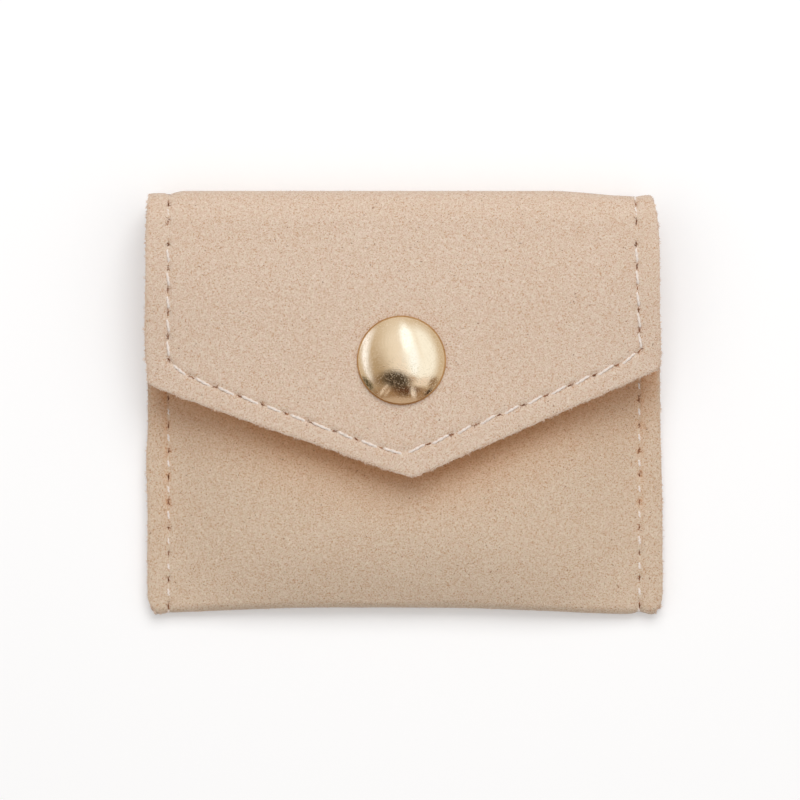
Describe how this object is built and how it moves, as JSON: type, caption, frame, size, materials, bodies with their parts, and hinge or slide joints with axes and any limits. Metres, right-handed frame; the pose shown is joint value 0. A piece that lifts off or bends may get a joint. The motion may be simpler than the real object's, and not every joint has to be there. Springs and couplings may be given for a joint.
{
  "type": "mini snap wallet",
  "caption": "Small folded suede pouch wallet with a V-shaped flap, sewn edges and a domed spring snap.",
  "frame": {"origin": "on the table, under the middle of the box of the closed wallet, which lies on its back", "axes": "+X across the wallet, +Y towards the top fold, +Z out of the front, through the snap"},
  "size_m": [0.074, 0.0602, 0.0142],
  "materials": {
    "suede": "beige faux suede with a short nap",
    "lining": "smooth beige microfibre backing",
    "thread": "off-white twisted polyester sewing thread",
    "snap_gold": "polished pale gold plating",
    "snap_brass": "plated brass, lightly burnished",
    "spring_wire": "drawn spring wire"
  },
  "bodies": {
    "body": {"body_outer": "suede", "body_lining": "lining", "side_thread_left": "thread", "side_thread_right": "thread", "mouth_thread": "thread", "snap_stud": "snap_brass", "snap_stud_post": "snap_brass"},
    "fold_lower": {"fold_outer_lower": "suede", "fold_lining_lower": "lining", "fold_thread_lower": "thread"},
    "fold_middle": {"fold_outer_middle": "suede", "fold_lining_middle": "lining", "fold_thread_middle": "thread"},
    "fold_upper": {"fold_outer_upper": "suede", "fold_lining_upper": "lining", "fold_thread_upper": "thread"},
    "flap": {"flap_outer": "suede", "flap_lining": "lining", "flap_thread": "thread", "snap_cap": "snap_gold", "snap_cap_post": "snap_brass", "snap_socket": "snap_brass", "snap_spring": "spring_wire"}
  },
  "joints": [
    {"name": "flap_fold_start", "type": "hinge", "parent": "body", "child": "fold_lower", "pos_m": [0, 0.02485, 0], "axis": [-1, 0, 0], "range_deg": [0, 9]},
    {"name": "flap_fold_lower", "type": "hinge", "parent": "fold_lower", "child": "fold_middle", "pos_m": [0, 0.0293, 0.00247], "axis": [-1, 0, 0], "range_deg": [0, 48]},
    {"name": "flap_fold", "type": "hinge", "parent": "fold_middle", "child": "fold_upper", "pos_m": [0, 0.02957, 0.00755], "axis": [-1, 0, 0], "range_deg": [0, 60]},
    {"name": "flap_fold_end", "type": "hinge", "parent": "fold_upper", "child": "flap", "pos_m": [0, 0.0254, 0.01047], "axis": [-1, 0, 0], "range_deg": [0, 48], "deforming": ["snap_spring"]}
  ],
  "couplings": [
    {"joint": "flap_fold_start", "follows": "flap_fold", "ratio": 0.15},
    {"joint": "flap_fold_lower", "follows": "flap_fold", "ratio": 0.8},
    {"joint": "flap_fold_end", "follows": "flap_fold", "ratio": 0.8}
  ]
}
